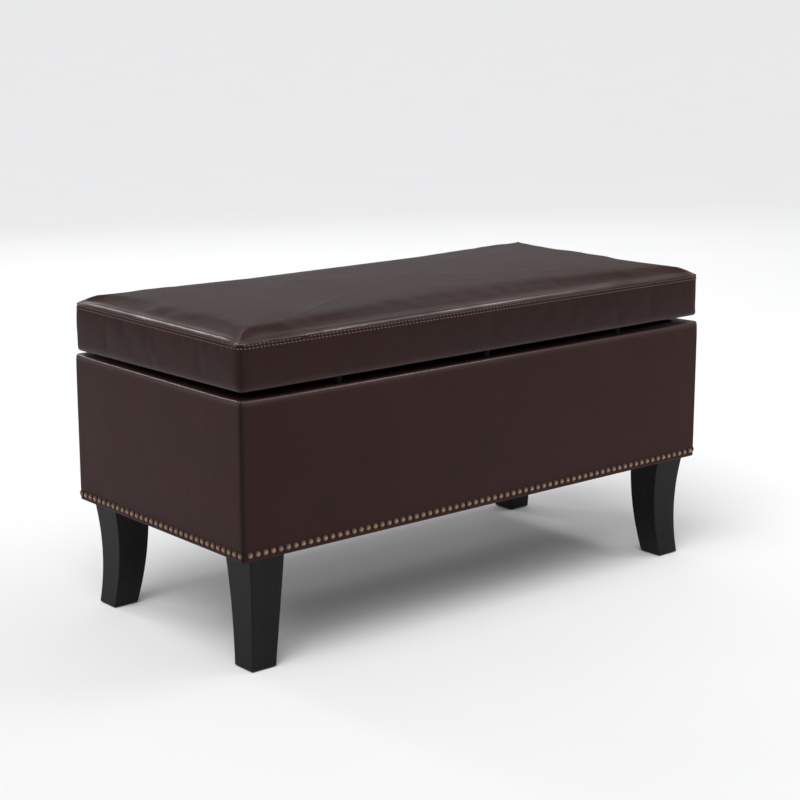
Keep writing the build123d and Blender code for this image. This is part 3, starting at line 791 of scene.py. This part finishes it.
# %% Slice and open the box cover
cover_low, cover_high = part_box("box_left_leather")[0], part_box("box_right_leather")[1]
side_x, side_y = cover_high.x, -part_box("box_front_leather")[0].y
foot, rim_level = cover_low.z, cover_high.z
well_x, well_y = -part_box("box_left_leather")[1].x, -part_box("box_front_leather")[1].y
nail_low, nail_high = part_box("nails_front_left")
nail_level = (nail_low.z + nail_high.z) / 2

box_corner, rim_bevel, box_foot_bevel, corner_steps = 5 * MM, 4 * MM, 2 * MM, 6
leather_thickness = 1.5 * MM
box_coarse_cut, box_fine_cut, box_fine_margin = 18 * MM, 5 * MM, 24 * MM
cuts_from_nails = (-6, -3, 0, 3, 6, 12)
cuts_from_rim = (8, 13, 19, 28, 40, 55, 72, 92, 114, 136, 158, 180)

cover = rounded_block(side_x, side_y, foot, rim_level, box_corner, rim_bevel, box_foot_bevel,
                      corner_steps)
quarter(cover)
slice_across(cover, 2, [nail_level + cut * MM for cut in cuts_from_nails]
             + [rim_level - cut * MM for cut in cuts_from_rim])
for axis, reach, well in ((1, side_y, well_y), (0, side_x, well_x)):
    slice_across(cover, axis, [well] + spread(reach, box_coarse_cut, box_fine_cut,
                                              box_fine_margin))
opening = [f for f in cover.faces if abs(f.normal.z) > 0.99
           and abs(f.calc_center_median().x) < well_x and abs(f.calc_center_median().y) < well_y]
bmesh.ops.delete(cover, geom=opening, context="FACES")
whole(cover)
cover.normal_update()
print("box cover", len(cover.verts), "points")


# %% Swell the panels, sink the corner seams
def box_gap(p):
    """How far a point is inside the box's nearest upright corner, along x and along y."""
    return side_x - abs(p.x), side_y - abs(p.y)


def box_move(p):
    """How far a point of the box's cover goes out: swollen panels, nail row, corner seams."""
    gx, gy = box_gap(p)
    height = (p.z - foot) / (rim_level - foot)
    swell = min(1, max(gx, gy) / (60 * MM)) * min(1, max(0, (height - 0.08) / 0.25))
    swell *= min(1, max(0, (1.0 - height) / 0.2))
    slow = noise.noise(Vector((p.x * 6, p.y * 6, p.z * 7)))
    out = 1.1 * MM * swell + 0.5 * MM * slow * swell
    out -= 0.5 * MM * falloff(p.z - nail_level, 5 * MM)
    notch = 1 + 1.6 * falloff(rim_level - p.z, 11 * MM)
    return out - 1.1 * MM * notch * falloff(off_corner(gx, gy, box_corner), 1.6 * MM)


marks = {"rub_and_highlight": [], "seam_shade": []}
for v in cover.verts:
    p = v.co.copy()
    gx, gy = box_gap(p)
    side = Vector((v.normal.x, v.normal.y, 0))
    if side.length > 0.5:
        v.co += side.normalized() * box_move(p)
    if p.z > rim_level - 3 * MM:
        v.co.z += 1.3 * MM * falloff(hypot(gx, gy), 34 * MM)
    # The rolled rim is painted paler, partly wear and partly a painted highlight; the upright
    # corner seams are painted dark as painted shade.
    marks["rub_and_highlight"].append(falloff(min(gx, gy) - 1.5 * MM, 3 * MM)
                        * falloff(rim_level - p.z - 1 * MM, 3 * MM))
    marks["seam_shade"].append(falloff(off_corner(gx, gy, box_corner), 2.3 * MM)
                         * (min(gx, gy) < 4 * MM))
box_cover = piece(cover, "box_cover", leather, "box",
                  [f"box_{side}_{layer}" for side in ("front", "back", "left", "right")
                   for layer in ("leather", "padding")])
for name, values in marks.items():
    paint(box_cover, name, values)
add_modifier(box_cover, "SUBSURF", levels=1, render_levels=1)
add_modifier(box_cover, "SOLIDIFY", thickness=leather_thickness, offset=-1.0)

# %% [markdown]
# ## The nails
# The trim is a single row of half-inch nails set almost touching. A head is a shallow dome with
# a small rolled rim. One head is made by spinning its outline, and the row is that head set down
# two hundred times, so the outline has few points. Its points are marked with their height, and
# the bronze uses that mark to be bright on the crown and dark at the rim.

# %% One head, then the rows
def nail_head():
    """One domed head, spun about its own Z from half of its outline in millimetres."""
    head = bmesh.new()
    outline = [(0, 2.6), (1.9, 2.3), (3.5, 1.5), (4.5, 0.55), (5.0, 0.15), (4.8, -0.7)]
    points = [head.verts.new((across * MM, 0, up * MM)) for across, up in outline]
    edges = [head.edges.new(pair) for pair in zip(points, points[1:])]
    bmesh.ops.spin(head, geom=points + edges, cent=(0, 0, 0), axis=(0, 0, 1), angle=2 * pi,
                   steps=10, use_merge=True)
    bmesh.ops.remove_doubles(head, verts=head.verts, dist=0.01 * MM)
    bmesh.ops.recalc_face_normals(head, faces=head.faces)
    return pattern_of(head, "nail_head")


nail_pitch, long_row, end_row = 12.7 * MM, 70, 33
rows = {"front": ((0, -side_y), (1, 0), (0, -1), long_row),
        "back": ((0, side_y), (-1, 0), (0, 1), long_row),
        "left": ((-side_x, 0), (0, -1), (-1, 0), end_row),
        "right": ((side_x, 0), (0, 1), (1, 0), end_row)}
nail = nail_head()
nail_top = max(v.co.z for v in nail.vertices)
trim, heights = bmesh.new(), []
for centre, along, facing, count in rows.values():
    turn = Matrix(((*along, 0), (0, 0, 1), (*facing, 0))).transposed().to_4x4()
    for n in range(count):
        step = nail_pitch * (n - (count - 1) / 2)
        at = Vector((*centre, nail_level)) + Vector((*along, 0)) * step
        set_down(trim, nail, Matrix.Translation(at) @ turn)
        heights += [max(0.0, v.co.z / nail_top) for v in nail.vertices]
print("nails", {side: row[-1] for side, row in rows.items()})
nail_trim = piece(trim, "nail_trim", bronze, "box",
                  [n for n in frame["nodes"] if n.startswith("nails_")])
paint(nail_trim, "crown", heights)

# %% [markdown]
# ## The floor
# A plain pale floor, wide enough to reach past the horizon of every view, takes the bench's
# soft shadow.

# %% Floor
floor_reach = 150
ground = bmesh.new()
bmesh.ops.create_grid(ground, x_segments=2, y_segments=2, size=floor_reach)
floor_mesh = bpy.data.meshes.new("studio_floor")
ground.to_mesh(floor_mesh)
ground.free()
floor = bpy.data.objects.new("studio_floor", floor_mesh)
bpy.context.collection.objects.link(floor)
pale = Finish("pale_floor", Specular_IOR_Level=0.1)
pale.wear(Base_Color=pale.blend(pale.clouds(3), (0.88, 0.88, 0.88, 1), (0.91, 0.91, 0.905, 1)),
          Roughness=0.8 + pale.clouds(20) * 0.1)
floor_mesh.materials.append(pale.material)
